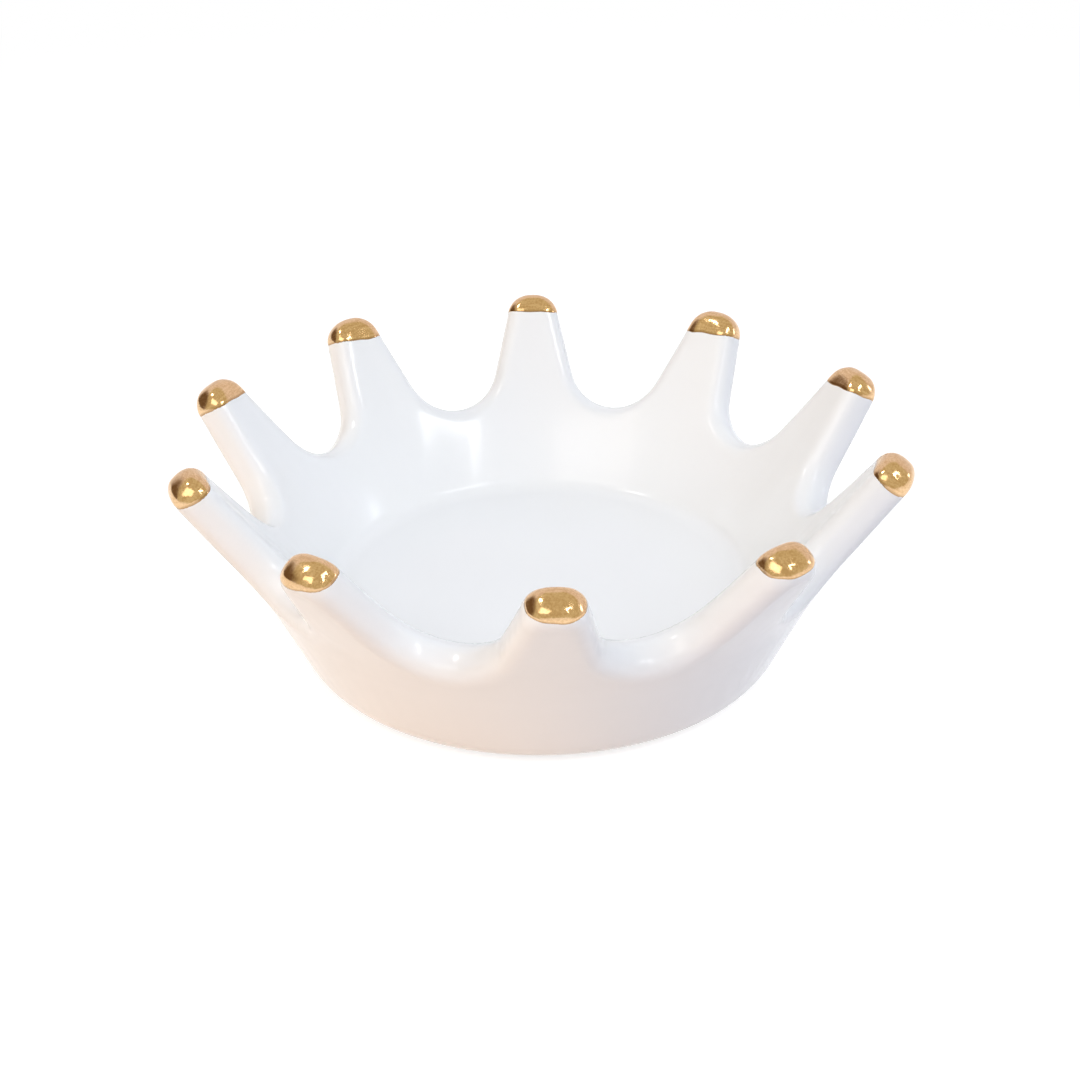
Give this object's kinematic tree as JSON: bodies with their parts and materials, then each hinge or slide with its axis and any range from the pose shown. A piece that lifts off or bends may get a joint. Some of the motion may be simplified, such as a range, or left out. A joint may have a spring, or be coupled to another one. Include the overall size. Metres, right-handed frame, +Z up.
{
  "type": "ring dish",
  "caption": "Crown-shaped ceramic ring dish: a flared bowl on a flat foot, its rim cut into rounded, gold-tipped fingers that rings hang on.",
  "frame": {"origin": "centre of the foot, on the surface that the dish stands on", "axes": "+Z up along the dish's axis; one finger points to -Y, which faces the picture's camera"},
  "size_m": [0.102, 0.1064, 0.0356],
  "materials": {
    "white_glaze": "glossy white glaze",
    "gold_lustre": "polished gold lustre"
  },
  "bodies": {
    "root": {"ceramic_dish": "white_glaze", "gold_tip_01": "gold_lustre", "gold_tip_02": "gold_lustre", "gold_tip_03": "gold_lustre", "gold_tip_04": "gold_lustre", "gold_tip_05": "gold_lustre", "gold_tip_06": "gold_lustre", "gold_tip_07": "gold_lustre", "gold_tip_08": "gold_lustre", "gold_tip_09": "gold_lustre", "gold_tip_10": "gold_lustre"}
  },
  "joints": []
}
